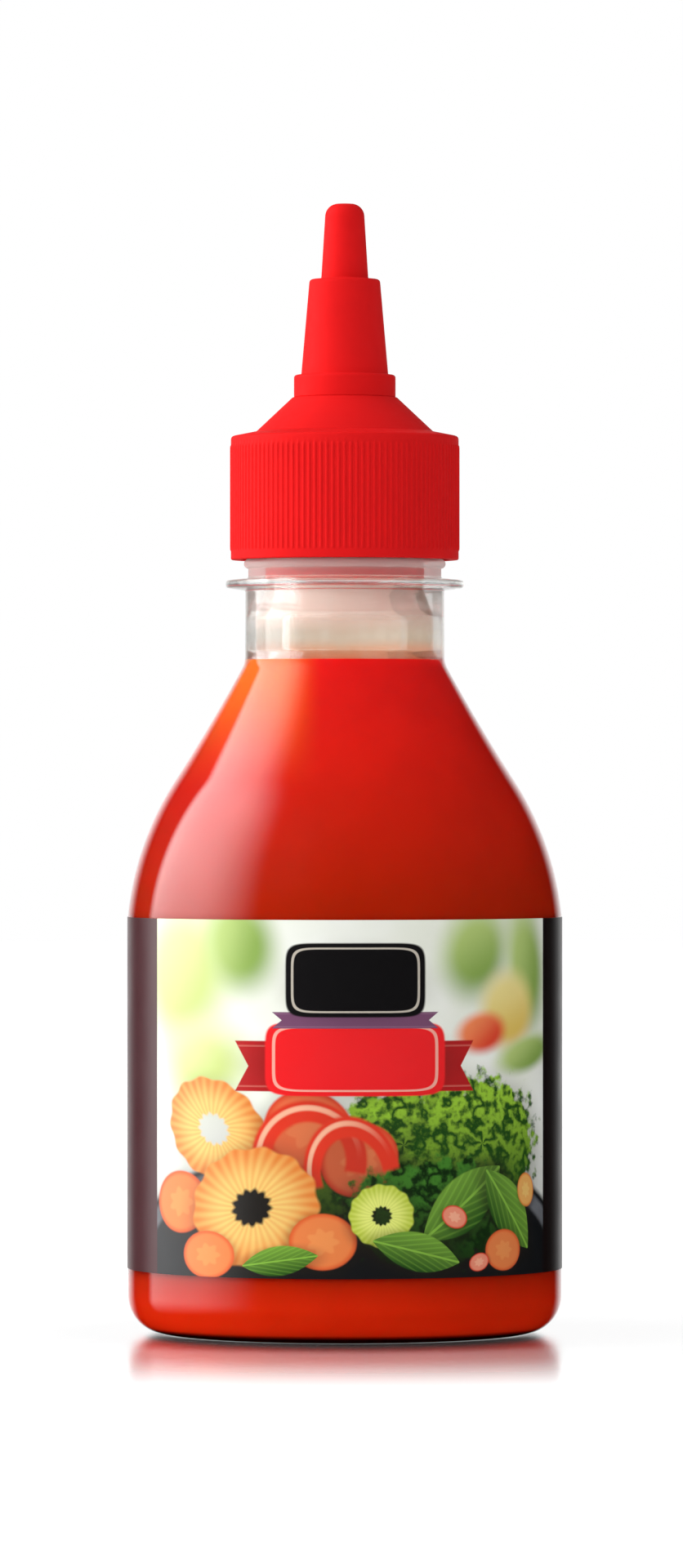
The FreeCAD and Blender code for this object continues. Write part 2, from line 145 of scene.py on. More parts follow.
class CapSizes(PropertyGroup):
    """The screw cap with its seal, spout and pin."""

    radius: length("Radius", "Outside of the skirt between its ribs", 15.7 * MM)
    top: length("Top", "Height of the shelf at the cone", BOTTLE[1].z + 2.2 * MM)
    drop: length("Drop", "Fall of the shelf from the cone out to the skirt", 0.7 * MM)
    foot: length("Foot", "Height of the skirt's lower edge", 106.49 * MM)
    bore: length("Bore", "Inside of the skirt", 14.45 * MM)
    rounding: length("Rounding", "Round at the top of the skirt", 0.5 * MM)
    bevel: length("Bevel", "Round at the foot of the skirt", 0.2 * MM)
    ribs: whole("Ribs", "Number of grip ribs", 120)
    rib_radius: length("Rib Radius", "Radius of each grip rib", 0.3 * MM)
    rib_relief: length("Rib Relief", "How far a rib stands out", CAP[1].x - 15.7 * MM)
    rib_margin: length("Rib Margin", "Bare band above and below the ribs", 1.2 * MM)
    shelf: length("Shelf", "Width of the shelf", 3.5 * MM)
    cone_wall: length("Cone Wall", "Upright thickness of the cone", 1.8 * MM)
    seat: length("Seat", "Radius of the cone's top", 7.2 * MM)
    seal: length("Seal", "Outside of the seal's bead, which presses into the bore", 10.95 * MM)
    seal_neck: length("Seal Neck", "Outside of the seal above its bead", 10.45 * MM)
    seal_bead: length("Seal Bead", "Height of the seal's bead", 1.5 * MM)
    seal_wall: length("Seal Wall", "Wall of the seal", 1.1 * MM)
    spout: length("Spout", "Outside of the spout", 3.9 * MM)
    spout_wall: length("Spout Wall", "Wall of the spout", 1.1 * MM)
    pin: length("Pin", "Radius of the pin", 0.65 * MM)


class NozzleSizes(PropertyGroup):
    """The twist nozzle."""

    foot: length("Foot", "Height of the nozzle's seat", NOZZLE[0].z)
    top: length("Top", "Height of the tip", NOZZLE[1].z)
    collar: length("Collar", "Radius of the grip collar", NOZZLE[1].x)
    collar_height: length("Collar Height", "Height of the collar", 3.1 * MM)
    barrel_foot: length("Barrel Foot", "Radius of the barrel at its foot", 6.0 * MM)
    barrel_top: length("Barrel Top", "Radius of the barrel at its top", 4.85 * MM)
    barrel_height: length("Barrel Height", "Height of the barrel", 13.2 * MM)
    crown: length("Crown", "Thickness of the barrel's closed top", 2.15 * MM)
    tip_foot: length("Tip Foot", "Radius of the tip at its foot", 3.25 * MM)
    tip_top: length("Tip Top", "Radius of the tip at its top", 2.6 * MM)
    tip_round: length("Tip Round", "Round over the tip", 1.75 * MM)
    tip_bore: length("Tip Bore", "Bore of the tip", 1.7 * MM)
    land: length("Land", "Thickness of the tip's end", 1.3 * MM)
    orifice: length("Orifice", "Radius of the orifice", 0.75 * MM)
    clearance: length("Clearance", "Clearance of the nozzle on the spout", 0.15 * MM)


class Colours(PropertyGroup):
    """The colours of the bottle's pieces and of its print."""

    plastic: colour("Red Plastic", "Cap and nozzle", (0.77, 0.011, 0.012))
    clear: colour("Clear Plastic", "Bottle", (0.96, 0.975, 0.965))
    # painted shade: the sauce low in the body is darker than at the neck because the upright wall gets less
    # light
    sauce_painted_shade: colour("Deep Sauce", "Sauce in the wide body", (0.51, 0.020, 0.002))
    sauce: colour("Sauce", "Sauce at the neck", (0.81, 0.013, 0.013))
    # painted light: the orange glow where the key light comes through the sauce at the neck
    sauce_painted_glow: colour("Thin Sauce", "Sauce where light comes through it", (0.92, 0.21, 0.02))
    foot_shade: colour("Foot Shade", "Clear plastic where the bottle stands", (0.15, 0.1, 0.1))
    residue: colour("Residue", "Film left on the wall above the sauce", (0.87, 0.75, 0.66))
    residue_thin: colour("Thin Residue", "Film where it has run thin", (0.93, 0.90, 0.86))
    residue_red: colour("Red Residue", "Film near the sauce", (0.97, 0.54, 0.36))
    residue_cloud: colour("Cloudy Residue", "Cloudy part of the film below the cap", (0.98, 0.80, 0.74))
    haze: colour("Haze", "Moulding haze of the mouth above the ledge", (0.98, 0.72, 0.68))
    side: colour("Label Side", "Plain back and sides of the label", (0.012, 0.006, 0.006))
    side_warm: colour("Label Side, Warm", "The left side of the label", (0.06, 0.012, 0.016))
    print_shade: colour("Print Shade", "Shadow printed round the label's motifs", (0.02, 0.015, 0.01))


class StageSizes(PropertyGroup):
    """The camera, the lamps and the floor."""

    distance: length("Distance", "From the camera to the bottle's axis", 1.2)
    eye: length("Eye", "Height of the camera", 75.6 * MM)
    frame: length("Frame", "Height of the picture at the bottle's axis", 216.2 * MM)
    aside: length("Aside", "How far the camera stands to the left", 0.45 * MM)
    ambient: number("Ambient", "Strength of the even light from all round", 0.44)
    key: number("Key", "Radiance of the tall soft box", 4.3)
    key_turn: number("Key Turn", "Angle of the soft box from the front, left negative", -84.0)
    fill: number("Fill", "Radiance of the fill in front", 3.0)
    card: number("Card", "Radiance of the weak fill on the right", 0.7)
    floor: length("Floor", "Half the floor's width", 3.0)


class SauceBottleSettings(PropertyGroup):
    """Every size and colour of the bottle."""

    bottle: PointerProperty(type=BottleSizes)
    sauce: PointerProperty(type=SauceSizes)
    label: PointerProperty(type=LabelSizes)
    cap: PointerProperty(type=CapSizes)
    nozzle: PointerProperty(type=NozzleSizes)
    colours: PointerProperty(type=Colours)
    stage: PointerProperty(type=StageSizes)


# ---------------------------------------------------------------- outlines


def arc(centre, radius, start, end, steps):
    """Points of an arc: the centre plus radius times the cosine and sine of angles from start to end."""
    turn = np.radians(np.linspace(start, end, steps + 1))
    return np.column_stack((centre[0] + radius * np.cos(turn), centre[1] + radius * np.sin(turn)))


def blended(first, second, radius, steps=8):
    """Two runs of points joined by a round: each run is cut back by radius times the tangent of half
    the turn between them, and a curve with those tangents bridges the cut."""
    into = first[-1] - first[-2]
    out = second[1] - second[0]
    into, out = into / np.linalg.norm(into), out / np.linalg.norm(out)
    turn = np.arccos(np.clip(into @ out, -1, 1))
    cut = radius * np.tan(turn / 2)
    share = np.linspace(0, turn, steps + 1)
    start = first[-1] - cut * into
    side = out - (out @ into) * into
    side /= np.linalg.norm(side)
    bridge = start + radius * (np.outer(np.sin(share), into) + np.outer(1 - np.cos(share), side))
    kept_first = first[np.linalg.norm(first - first[-1], axis=1) > cut + TINY]
    kept_second = second[np.linalg.norm(second - second[0], axis=1) > cut + TINY]
    return np.vstack((kept_first, bridge, kept_second))


def rounded(corners, steps=8):
    """Points through corners (r, z, radius), each corner cut by a round of its radius in so many steps."""
    path = np.array([corners[0][:2]], float)
    places = [np.array(corner[:2], float) for corner in corners]
    for here, after, (_, _, radius) in zip(places[1:-1], places[2:], corners[1:-1]):
        run = np.vstack((path, here))
        path = blended(run, np.array([here, after]), radius, steps)[:-1] if radius else run
    return np.vstack((path, places[-1]))


def steadied(points, gap):
    """The points with one more at each end of every run longer than four gaps, a gap from its end,
    so that a flat run stays flat in smooth shading."""
    made = [points[0]]
    for here, after in zip(points[:-1], points[1:]):
        reach = np.linalg.norm(after - here)
        if reach > 4 * gap:
            made += [here + (after - here) * gap / reach, after - (after - here) * gap / reach]
        made.append(after)
    return np.array(made)


# ---------------------------------------------------------------- meshes


def signed_volume(points, quads):
    """A sixth of the sum over the quads' triangles of a . (b x c), positive where faces point outwards."""
    a, b, c, d = (points[quads[:, i]] for i in range(4))
    return (np.einsum("ij,ij->i", a, np.cross(b, c)) + np.einsum("ij,ij->i", a, np.cross(c, d))).sum() / 6


def grid_quads(rows, columns, closed_rows, closed_columns):
    """Corner numbers of the quads of a grid whose rows or columns may close on themselves."""
    i = np.arange(rows if closed_rows else rows - 1)
    j = np.arange(columns if closed_columns else columns - 1)
    i, j = (a.ravel() for a in np.meshgrid(i, j, indexing="ij"))
    after_i, after_j = (i + 1) % rows, (j + 1) % columns
    return np.column_stack(
        (i * columns + j, i * columns + after_j, after_i * columns + after_j, after_i * columns + j)
    )


def make_piece(name, x, y, z, closed_rows, closed_columns, sharp=30.0):
    """A piece from grids of coordinates, with its poles and seams closed and its faces outwards."""
    points = np.stack((x, y, z), axis=-1).reshape(-1, 3)
    quads = grid_quads(*x.shape, closed_rows, closed_columns)
    if signed_volume(points, quads) < 0:
        quads = quads[:, ::-1]
    mesh = bpy.data.meshes.new(name)
    mesh.vertices.add(len(points))
    mesh.vertices.foreach_set("co", points.ravel())
    mesh.loops.add(quads.size)
    mesh.loops.foreach_set("vertex_index", quads.ravel())
    mesh.polygons.add(len(quads))
    mesh.polygons.foreach_set("loop_start", np.arange(0, quads.size, 4))
    mesh.update(calc_edges=True)
    shape = bmesh.new()
    shape.from_mesh(mesh)
    bmesh.ops.remove_doubles(shape, verts=shape.verts, dist=TINY)
    bmesh.ops.dissolve_degenerate(shape, edges=shape.edges, dist=TINY)
    shape.to_mesh(mesh)
    shape.free()
    mesh.shade_smooth()
    mesh.set_sharp_from_angle(angle=np.radians(sharp))
    piece = bpy.data.objects.new(name, mesh)
    bpy.context.collection.objects.link(piece)
    return piece


def turned(name, outline, sides, swell=None, closed=False, angles=None, sharp=30.0):
    """A turning: x = r sin a, y = -r cos a, z = z for every outline point (r, z) and every angle a
    from the front, where swell(a, r, z) is added to r. A closed outline's end joins its start."""
    a = np.linspace(0, 2 * np.pi, sides, endpoint=False) if angles is None else angles
    r, z = outline[:, :1], outline[:, 1:]
    r, z, a = np.broadcast_arrays(r, z, a[None, :])
    if swell is not None:
        r = np.where(r > 0, r + swell(a, r, z), r)
    return make_piece(name, r * np.sin(a), -r * np.cos(a), z, closed, True, sharp)


def placed(piece, node, slot, *materials):
    """Gives a piece its materials and its place in the frame."""
    for material in materials:
        piece.data.materials.append(material)
    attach(piece, "root")
    if node:
        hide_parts(node)
    return piece


# ---------------------------------------------------------------- outlines of the bottle


def shoulder(size, offset):
    """The shoulder's convex and hollow rounds, moved into the wall by an offset."""
    crease, slope = np.radians((size.crease, size.slope))
    panel_end = np.array((size.radius, size.panel_top))
    arch = panel_end - size.shoulder * np.array((np.cos(crease), np.sin(crease)))
    waist = arch + (size.shoulder + size.waist) * np.array((np.cos(slope), np.sin(slope)))
    neck = size.neck if offset == 0 else size.neck - size.neck_wall
    inside = size.radius - offset
    convex_radius = size.shoulder - offset
    hollow_radius = size.waist + offset
    start = size.crease if offset == 0 else np.degrees(np.arccos((inside - arch[0]) / convex_radius))
    end = 180 + np.degrees(np.arccos((waist[0] - neck) / hollow_radius))
    convex = arc(arch, convex_radius, start, size.slope, 28)
    hollow = arc(waist, hollow_radius, 180 + size.slope, end, 16)
    return np.vstack((convex, hollow[1:]))


def ledge_foot(size):
    """The height at which the support ledge starts."""
    return shoulder(size, 0)[-1, 1] + size.neck_length


def dome(size, offset):
    """The base's raised middle, moved into the wall by an offset: an arc from the axis down to the height
    of the offset, on the sphere whose radius is (punt squared + ring squared) / (2 punt)."""
    ring = size.radius - size.corner - size.foot
    sphere = (size.punt**2 + ring**2) / (2 * size.punt)
    centre = size.punt - sphere
    reach = np.sqrt((sphere + offset) ** 2 - (offset - centre) ** 2)
    rise = np.degrees(np.arcsin(reach / (sphere + offset)))
    return arc((0, centre), sphere + offset, 90, 90 - rise, 14)


def outside_of(size):
    """The bottle's outside, from the middle of its base to the rim of its mouth."""
    foot_outer = size.radius - size.corner
    ring = np.array(((foot_outer - size.foot, 0), (foot_outer, 0)))
    base = blended(dome(size, 0), ring, size.punt_blend, 5)
    corner = arc((foot_outer, size.corner), size.corner, -90, 0, 20)
    body = np.vstack((base, corner[1:], ((size.radius, size.panel_top),)))
    slope = shoulder(size, 0)
    ledge_low = ledge_foot(size)
    neck = np.array((slope[-1], (size.neck, ledge_low)))
    lower = blended(np.vstack((body, slope[1:])), neck, size.neck_blend, 8)[:-1]
    ledge_top = ledge_low + size.ledge_root
    slack = (size.ledge_root - size.ledge_rim) / 2
    bead = ledge_top + size.bead_lift
    half = size.bead_height / 2
    bead_radius = (size.bead_reach**2 + half**2) / (2 * size.bead_reach)
    spread = np.degrees(np.arcsin(half / bead_radius))
    bead_centre = (size.finish + size.bead_reach - bead_radius, bead + half)
    bead_arc = arc(bead_centre, bead_radius, -spread, spread, 12)
    round_in, round_out = 0.3 * MM, 0.35 * MM
    ledge = rounded(
        (
            (*lower[-1], 0),
            (size.neck, ledge_low, round_in),
            (size.ledge, ledge_low + slack, round_out),
            (size.ledge, ledge_top - slack, round_out),
            (size.finish, ledge_top, round_in),
            (*bead_arc[0], 0),
        )
    )
    rim_round = 0.5 * MM
    rim = rounded(((*bead_arc[-1], 0), (size.finish, size.mouth, rim_round), (size.bore, size.mouth, 0)))
    return np.vstack((lower[:-1], ledge[:-1], bead_arc, rim[1:-1]))


def inside_of(size, offset):
    """The bottle's inside, from the middle of its base to the foot of its neck, for a wall of the offset."""
    corner = arc((size.radius - size.corner, size.corner), size.corner - offset, -90, 0, 20)
    return np.vstack((dome(size, offset), corner, shoulder(size, offset)))


def finish_inside(size):
    """The bottle's inside, from the foot of its neck up to its mouth."""
    ledge_low = ledge_foot(size)
    neck = size.neck - size.neck_wall
    start = shoulder(size, size.wall)[-1]
    soft = 4 * MM
    return rounded(
        (
            (*start, 0),
            (neck, ledge_low - size.thinning, soft),
            (size.bore, ledge_low, soft),
            (size.bore, size.mouth, 0.3 * MM),
            (size.finish, size.mouth, 0),
        )
    )[1:-1]


class SAUCE_BOTTLE_OT_bottle(Operator):
    """Makes the clear bottle: one closed wall with a punt, shoulder, neck, ledge, bead and mouth"""

    bl_idname = "sauce_bottle.make_bottle"
    bl_label = "Make the Bottle"

    def execute(self, context):
        settings = context.scene.sauce_bottle
        size = settings.bottle
        within = np.vstack((inside_of(size, size.wall), finish_inside(size)))
        outline = steadied(np.vstack((outside_of(size), within[::-1])), 0.25 * MM)
        inner_from = int(np.argmax(outline[:, 1])) + 1
        seam, seam_end = 0.12 * MM, size.panel_top + 40 * MM
        blown_from, blown_to = 8 * MM, 88 * MM

        def swell(a, r, z):
            """The mould's two seams, a narrow ridge at each side, and the blown wall's slow waves inside."""
            off = r * np.abs(np.remainder(a, np.pi) - np.pi / 2)
            ridge = size.mould_line * np.exp(-((off / seam) ** 2)) * (z < seam_end)
            waves = np.sin(3 * a + 90 * z) * np.sin(2 * a - 60 * z + 1.0)
            waves += 0.5 * np.sin(5 * a + 140 * z + 2.0)
            row = np.arange(len(r))[:, None]
            blown = (z > blown_from) & (z < blown_to)
            return np.where(row < inner_from, ridge, -size.unevenness * waves * blown)

        piece = turned("clear_bottle", outline, 240, swell)
        placed(piece, "bottle", "clear_plastic", clear_plastic(settings))
        return {"FINISHED"}


class SAUCE_BOTTLE_OT_sauce(Operator):
    """Makes the sauce up to its level, reaching just into the wall, and the film above it"""

    bl_idname = "sauce_bottle.make_sauce"
    bl_label = "Make the Sauce"

    def execute(self, context):
        settings = context.scene.sauce_bottle
        bottle, size = settings.bottle, settings.sauce
        wall = inside_of(bottle, bottle.wall - size.overlap)
        rim_height = size.level + size.meniscus
        under = wall[wall[:, 1] < rim_height]
        rim = np.interp(rim_height, wall[-20:, 1], wall[-20:, 0])
        climb = np.linspace(1, 0, 9)
        run = 2.2 * MM
        # the top is level in the middle and climbs to the wall as the square of the nearness to it
        top = np.column_stack((rim - run * (1 - climb), size.level + size.meniscus * climb**2))
        outline = steadied(np.vstack((under, top, ((0, size.level),))), 0.3 * MM)
        body = turned("sauce_body", outline, 192, sharp=50.0)
        placed(body, "sauce", "sauce", sauce_material(settings))
        above = np.vstack((inside_of(bottle, bottle.wall), finish_inside(bottle)))
        film_from, film_to, gap = size.level - 0.4 * MM, settings.cap.foot + 0.5 * MM, 0.02 * MM
        outer = above[(above[:, 1] > film_from) & (above[:, 1] < film_to)] - (gap, 0)
        film = np.vstack((outer, (outer - (size.smear, 0))[::-1]))
        smear = turned("sauce_film", film, 160, closed=True, sharp=60.0)
        placed(smear, None, "sauce", film_material(settings))
        return {"FINISHED"}


class SAUCE_BOTTLE_OT_label(Operator):
    """Makes the film label, once round the panel with its upper end lapped over its lower one"""

    bl_idname = "sauce_bottle.make_label"
    bl_label = "Make the Label"

    def execute(self, context):
        settings = context.scene.sauce_bottle
        size = settings.label
        lap, rise = np.radians((size.overlap, size.rise))
        # the film runs from the back, once round, and on over its own start
        way = np.linspace(0, 2 * np.pi + lap, 481)
        climb = np.clip((way - (2 * np.pi - rise)) / rise, 0, 1)
        lift = size.film * climb**2 * (3 - 2 * climb)
        a = way - np.pi
        edge = 0.3 * MM
        middle = np.linspace(size.bottom, size.top, 26)[1:-1]
        z = np.concatenate(((size.bottom, size.bottom + edge), middle, (size.top - edge, size.top)))
        section_z = np.concatenate((z, z[::-1]))
        section_r = np.repeat((size.radius, size.radius - size.film), len(z))
        r, a, z = np.broadcast_arrays(section_r[:, None] + lift, a[None, :], section_z[:, None])
        piece = closed_strip("film_label", r * np.sin(a), -r * np.cos(a), z)
        placed(piece, "label", "label_film", label_material(settings))
        return {"FINISHED"}


def closed_strip(name, x, y, z):
    """A strip whose section is a closed loop, with both ends shut by a row drawn to the section's middle."""
    ends = []
    for grid in (x, y, z):
        half = len(grid) // 2
        middle = (grid[:half] + grid[half:][::-1]) / 2
        shut = np.concatenate((middle, middle[::-1]))
        ends.append(np.column_stack((shut[:, 0], grid, shut[:, -1])))
    return make_piece(name, *ends, True, False)


class SAUCE_BOTTLE_OT_cap(Operator):
    """Makes the ribbed screw cap with its shelf, cone, seal, spout and pin"""

    bl_idname = "sauce_bottle.make_cap"
    bl_label = "Make the Cap"

    def execute(self, context):
        settings = context.scene.sauce_bottle
        size, nozzle, mouth = settings.cap, settings.nozzle, settings.bottle.mouth
        cone, skirt_top = size.radius - size.shelf, size.top - size.drop
        slope = (nozzle.foot - size.top) / (cone - size.seat)
        seal_in = size.seal_neck - size.seal_wall
        barrel_end = nozzle.foot + nozzle.collar_height + nozzle.barrel_height
        spout_top = barrel_end - nozzle.crown - nozzle.clearance
        spout_in = size.spout - size.spout_wall
        soft = 0.12 * MM
        outline = rounded(
            (
                (0, CAP[1].z, 0),
                (size.pin, CAP[1].z, soft),
                (size.pin, spout_top, soft),
                (size.spout, spout_top, soft),
                (size.spout, nozzle.foot, soft),
                (size.seat, nozzle.foot, 0.25 * MM),
                (cone, size.top, 0.5 * MM),
                (size.radius, skirt_top, size.rounding),
                (size.radius, size.foot, size.bevel),
                (size.bore, size.foot, soft),
                (size.bore, mouth, soft),
                (size.seal_neck, mouth, soft),
                (size.seal_neck, CAP[0].z + size.seal_bead + 0.5 * MM, 0.3 * MM),
                (size.seal, CAP[0].z + size.seal_bead, 0.3 * MM),
                (size.seal, CAP[0].z, 0.3 * MM),
                (seal_in, CAP[0].z, soft),
                (seal_in, size.top - size.cone_wall + slope * (cone - seal_in), 0.5 * MM),
                (spout_in, nozzle.foot - size.cone_wall, soft),
                (spout_in, spout_top - size.spout_wall, soft),
                (0, spout_top - size.spout_wall, 0),
            ),
            steps=4,
        )
        low, high = size.foot + size.rib_margin, skirt_top - size.rib_margin
        ends = np.array((0, 0.15, 0.4)) * MM
        heights = np.concatenate((high - ends, low + ends[::-1]))
        rows = np.column_stack((np.full(len(heights), size.radius), heights))
        on_skirt = (outline[:, 0] > size.radius - TINY) & (outline[:, 1] < skirt_top - size.rounding / 2)
        skirt = int(np.argmax(on_skirt)) + 1
        outline = np.vstack((outline[:skirt], rows, outline[skirt:]))
        outline = steadied(outline, 0.2 * MM)
        pitch = 2 * np.pi / size.ribs
        half = np.sqrt(size.rib_radius**2 - (size.rib_radius - size.rib_relief) ** 2)
        shares = np.array((-1, -0.6, 0, 0.6, 1)) * half / size.radius
        angles = (np.arange(size.ribs)[:, None] * pitch + np.append(shares, pitch / 2)).ravel()

        def swell(a, r, z):
            """A rib at every pitch: the top of a circle, faded in over a short length at each end."""
            off = r * (np.remainder(a + pitch / 2, pitch) - pitch / 2)
            bow = np.sqrt(np.clip(size.rib_radius**2 - off**2, 0, None)) - (size.rib_radius - size.rib_relief)
            fade = np.clip(np.minimum(high - z, z - low) / ends[-1], 0, 1)
            return np.clip(bow, 0, None) * np.sqrt(1 - (1 - fade) ** 2) * (r > size.radius - TINY)

        piece = turned("red_cap", outline, 0, swell, angles=angles)
        placed(piece, "cap", "red_plastic", red_plastic("cap_plastic", settings.colours))
        return {"FINISHED"}


class SAUCE_BOTTLE_OT_nozzle(Operator):
    """Makes the twist nozzle: collar, tapered barrel, step and tip, bored for the spout and the pin"""

    bl_idname = "sauce_bottle.make_nozzle"
    bl_label = "Make the Nozzle"

    def execute(self, context):
        settings = context.scene.sauce_bottle
        size, spout = settings.nozzle, settings.cap.spout
        collar_top = size.foot + size.collar_height
        barrel_end = collar_top + size.barrel_height
        ceiling = barrel_end - size.crown
        bore = spout + size.clearance
        under_land = size.top - size.land
        soft = 0.1 * MM
        outline = rounded(
            (
                (size.orifice, (size.top + under_land) / 2, 0),
                (size.orifice, under_land, soft),
                (size.tip_bore, under_land - (size.tip_bore - size.orifice), soft),
                (size.tip_bore, ceiling, soft),
                (bore, ceiling, soft),
                (bore, size.foot, soft),
                (size.collar, size.foot, 0.15 * MM),
                (size.collar, collar_top, 0.4 * MM),
                (size.barrel_foot, collar_top, 0.25 * MM),
                (size.barrel_top, barrel_end, 0.5 * MM),
                (size.tip_foot, barrel_end, 0.35 * MM),
                (size.tip_top, size.top, size.tip_round),
                (size.orifice, size.top, 0.08 * MM),
                (size.orifice, (size.top + under_land) / 2, 0),
            )
        )
        piece = turned("red_nozzle", steadied(outline[:-1], 0.15 * MM), 96, closed=True)
        placed(piece, "nozzle", "nozzle_plastic", red_plastic("nozzle_plastic", settings.colours))
        return {"FINISHED"}


# ---------------------------------------------------------------- shader nodes


class Value:
    """What comes out of a node. Arithmetic on it adds the nodes that work it out."""

    def __init__(self, shader, socket):
        self.shader = shader
        self.socket = socket

    def math(self, operation, *others, swapped=False):
        values = (*others, self) if swapped else (self, *others)
        return self.shader.value("Math", dict(enumerate(values)), operation=operation)

    __add__ = __radd__ = partialmethod(math, "ADD")
    __mul__ = __rmul__ = partialmethod(math, "MULTIPLY")
    __sub__ = partialmethod(math, "SUBTRACT")
    __rsub__ = partialmethod(math, "SUBTRACT", swapped=True)
    __truediv__ = partialmethod(math, "DIVIDE")
    __pow__ = partialmethod(math, "POWER")
    __abs__ = partialmethod(math, "ABSOLUTE")
    at_least = partialmethod(math, "MAXIMUM")
    sine = partialmethod(math, "SINE")
    cosine = partialmethod(math, "COSINE")
    arctan2 = partialmethod(math, "ARCTAN2")

    def vector(self, operation, other, socket=1, output=0):
        inputs = {0: self, socket: other}
        return self.shader.value("VectorMath", inputs, output, operation=operation)

    def distance(self):
        """How far the place lies from the origin."""
        return self.vector("LENGTH", (0, 0, 0), output="Value")

    def split(self):
        return list(self.shader.outputs("SeparateXYZ", {0: self}).values())

    def ramp(self, low, high, to_low=0.0, to_high=1.0, smooth=True):
        """to_low where the value is low, to_high where it is high, and a smooth step between."""
        ends = {"Value": self, "From Min": low, "From Max": high, "To Min": to_low, "To Max": to_high}
        step = "SMOOTHSTEP" if smooth else "LINEAR"
        return self.shader.value("MapRange", ends, "Result", interpolation_type=step)

    def mix(self, under, over):
        """A colour: under where the value is 0, over where it is 1."""
        inputs = {0: self, 6: under, 7: over}
        return self.shader.value("Mix", inputs, 2, data_type="RGBA", clamp_factor=True)

    def blend(self, under, over):
        """A surface: under where the value is 0, over where it is 1."""
        return self.shader.value("MixShader", {0: self, 1: under, 2: over})

    def noise(self, scale, detail=2.0, output="Fac"):
        """Noise at the place that the value gives, so many waves to the metre."""
        inputs = {"Vector": self, "Scale": scale, "Detail": detail}
        return self.shader.value("TexNoise", inputs, output)

    def bump(self, strength, distance):
        """The normal of a surface with the value as its height."""
        inputs = {"Strength": strength, "Distance": distance, "Height": self}
        return self.shader.value("Bump", inputs)


class Shader:
    """A node tree that is written in the order in which its nodes are used. A node's kind is its type
    without ShaderNode in front."""

    def __init__(self, tree):
        self.tree = tree

    def node(self, kind, inputs=None, **settings):
        made = self.tree.nodes.new(kind if kind.startswith("NodeGroup") else f"ShaderNode{kind}")
        for key, value in settings.items():
            setattr(made, key, value)
        for key, value in (inputs or {}).items():
            self.plug(made.inputs[key], value)
        return made

    def plug(self, socket, value):
        if isinstance(value, Value):
            self.tree.links.new(value.socket, socket)
        elif socket.type == "RGBA" and len(value) == 3:
            socket.default_value = (*value, 1)
        else:
            socket.default_value = value

    def value(self, kind, inputs=None, output=0, **settings):
        return Value(self, self.node(kind, inputs, **settings).outputs[output])

    def outputs(self, kind, inputs=None, **settings):
        made = self.node(kind, inputs, **settings)
        return {output.name: Value(self, output) for output in made.outputs}

    def place(self):
        return self.value("TexCoord", output="Object")

    def light_path(self):
        return self.outputs("LightPath")

    def principled(self, inputs):
        return self.value("BsdfPrincipled", inputs)

    def simple(self, kind, colour):
        return self.value(f"Bsdf{kind}", {"Color": colour})


def emptied(owner):
    """The Shader that fills the emptied node tree of a material, a world or a lamp."""
    owner.use_nodes = True
    owner.node_tree.nodes.clear()
    return Shader(owner.node_tree)


def finished(shader, surface, kind="Material"):
    shader.node(f"Output{kind}", {"Surface": surface})


def new_material(name):
    """A material, the Shader that fills its empty node tree and the place on its piece."""
    material = bpy.data.materials.new(name)
    shader = emptied(material)
    return material, shader, shader.place()


# ---------------------------------------------------------------- plain materials


def red_plastic(name, colours):
    """Satin moulded polypropylene: one deep red, with a faint mottle and a fine moulded grain."""
    material, shader, place = new_material(name)
    tone = place.noise(120.0, 3.0).ramp(0.3, 0.7)
    surface = shader.principled(
        {
            "Base Color": tone.mix([part * 0.95 for part in colours.plastic], colours.plastic),
            "Roughness": place.noise(900.0).ramp(0.3, 0.7, 0.56, 0.64),
            "Normal": place.noise(2600.0).bump(0.12, 0.06 * MM),
            "IOR": 1.49,
            "Specular IOR Level": 0.04,
            "Subsurface Weight": 0.12,
            "Subsurface Radius": (1.0, 0.2, 0.1),
            "Subsurface Scale": 1.2 * MM,
        }
    )
    finished(shader, surface)
    return material


def clear_plastic(settings):
    """Clear blown plastic that lets lamps through, with the faintest pull marks in its gloss. It is hazed
    between the ledge and the cap's foot, and shaded where it stands."""
    colours, level, cap_foot = settings.colours, settings.sauce.level, settings.cap.foot
    ledge = ledge_foot(settings.bottle) + settings.bottle.ledge_root
    material, shader, place = new_material("clear_plastic")
    height = place.split()[2]
    over_ledge = height.ramp(ledge - 0.2 * MM, ledge + 0.4 * MM)
    frosted = over_ledge * height.ramp(cap_foot + 0.3 * MM, cap_foot - 0.1 * MM)
    glass = shader.principled(
        {
            "Base Color": height.ramp(0.5 * MM, 1.3 * MM).mix(colours.foot_shade, colours.clear),
            "Roughness": frosted * 0.5 + 0.03,
            "IOR": 1.57,
            "Transmission Weight": 1.0,
            "Normal": place.vector("MULTIPLY", (1.0, 1.0, 0.25)).noise(70.0).bump(0.05, 0.4 * MM),
        }
    )
    hazy = frosted * height.ramp(ledge + 0.8 * MM, ledge + 1.4 * MM, 0.35, 0.7)
    hazed = hazy.blend(glass, shader.simple("Diffuse", colours.haze))
    neck = height.ramp(level - 12.4 * MM, level + 2.1 * MM, 0.0, 0.4, smooth=False)
    straight = shader.light_path()["Is Shadow Ray"].at_least(neck)
    finished(shader, straight.blend(hazed, shader.simple("Transparent", colours.clear)))
    return material


